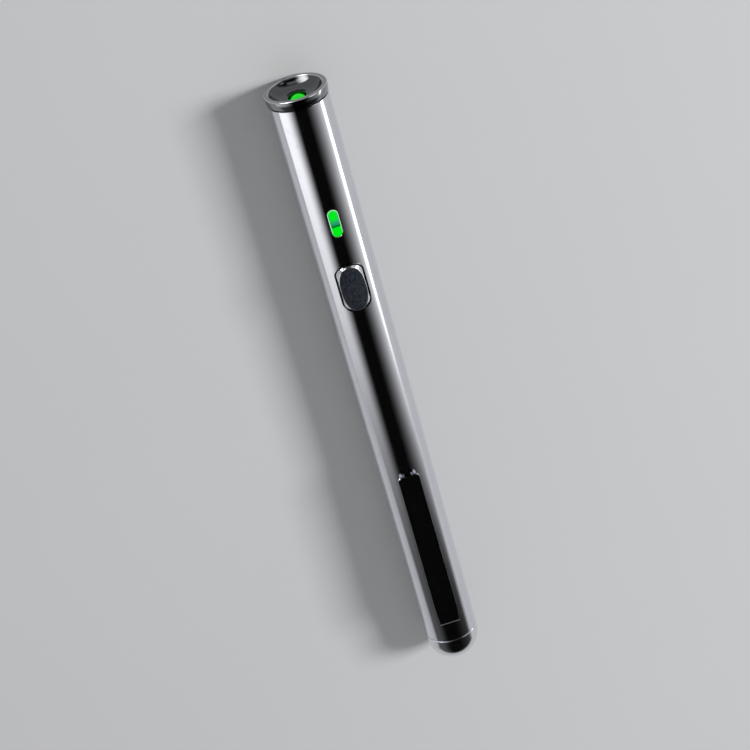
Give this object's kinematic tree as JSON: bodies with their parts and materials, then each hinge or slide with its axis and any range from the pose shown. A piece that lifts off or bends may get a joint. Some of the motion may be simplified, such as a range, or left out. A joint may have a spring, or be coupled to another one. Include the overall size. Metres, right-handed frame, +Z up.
{
  "type": "laser pointer",
  "caption": "Slim round metal laser pointer: dished front bezel and domed lens, indicator window, push button, pocket clip, screw-off tail cap, with optics, driver and cells inside.",
  "frame": {"origin": "on the table, under the middle of the pointer's length", "axes": "+X along the pointer the way the beam goes, +Z up through the button, the indicator window and the clip, +Y to the left of someone who looks along the beam"},
  "size_m": [0.1638, 0.014, 0.0152],
  "materials": {
    "polished_chrome": "polished chrome plate over brass",
    "dark_chrome": "polished darker plate",
    "clip_steel": "polished spring steel",
    "slate_pad": "fine-grained dark grey, slightly dished",
    "green_lens": "green-tinted, lit from behind",
    "clear_optics": "clear, polished",
    "crystal": "clear crystal",
    "turned_brass": "turned, unplated",
    "copper_mount": "bright copper",
    "gold_plate": "gold-plated",
    "black_rubber": "matt",
    "board_laminate": "glass-cloth laminate with green mask",
    "black_plastic": "moulded",
    "white_plastic": "moulded",
    "dark_ceramic": "fired, matt",
    "cell_sleeve": "plain printed sleeve over a steel can",
    "aluminium_can": "drawn can with a dark sleeve"
  },
  "bodies": {
    "body": {"barrel": "polished_chrome", "bezel_seal": "black_rubber", "board_tray": "black_plastic", "boost_coil": "dark_ceramic", "capacitor": "aluminium_can", "collimating_lens": "green_lens", "contact_bulkhead": "white_plastic", "crystal_block": "crystal", "crystal_mount": "copper_mount", "diode_clamp": "turned_brass", "driver_board": "board_laminate", "driver_chip": "black_plastic", "expander_lens": "clear_optics", "front_bezel": "dark_chrome", "front_cell": "cell_sleeve", "front_spring": "gold_plate", "indicator_window": "green_lens", "infrared_filter": "clear_optics", "lamp_front": "green_lens", "lamp_rear": "green_lens", "lens_retainer": "turned_brass", "module_housing": "turned_brass", "pump_diode": "gold_plate", "rear_cell": "cell_sleeve", "resistor_front": "dark_ceramic", "resistor_rear": "dark_ceramic", "switch_body": "black_plastic"},
    "button": {"button_cap": "polished_chrome", "button_pad": "slate_pad"},
    "plunger": {"switch_plunger": "white_plastic"},
    "cap_slider": {"tail_seal": "black_rubber", "tail_contact": "turned_brass", "tail_spring": "gold_plate"},
    "tail_cap": {"tail_cap": "polished_chrome"},
    "clip": {"pocket_clip": "clip_steel"}
  },
  "joints": [
    {"name": "button_press", "type": "slide", "parent": "body", "child": "button", "axis": [0, 0, -1], "range_m": [0, 0.00045], "stiffness_N_per_m": 1500, "springref_m": -0.0002},
    {"name": "plunger_press", "type": "slide", "parent": "body", "child": "plunger", "axis": [0, 0, -1], "range_m": [0, 0.00045]},
    {"name": "clip_flex", "type": "hinge", "parent": "body", "child": "clip", "pos_m": [-0.06582, 0, 0.0132], "axis": [0, -1, 0], "range_deg": [0, 2.5], "stiffness_Nm_per_rad": 3, "springref_deg": -0.57},
    {"name": "cap_travel", "type": "slide", "parent": "body", "child": "cap_slider", "axis": [-1, 0, 0], "range_m": [0, 0.0051]},
    {"name": "cap_turn", "type": "hinge", "parent": "cap_slider", "child": "tail_cap", "pos_m": [-0.07293, 0, 0.007], "axis": [-1, 0, 0], "range_deg": [0, 1440]}
  ],
  "couplings": [
    {"joint": "plunger_press", "follows": "button_press", "ratio": 1},
    {"joint": "cap_travel", "follows": "cap_turn", "m_per_rad": 0.00019894}
  ]
}
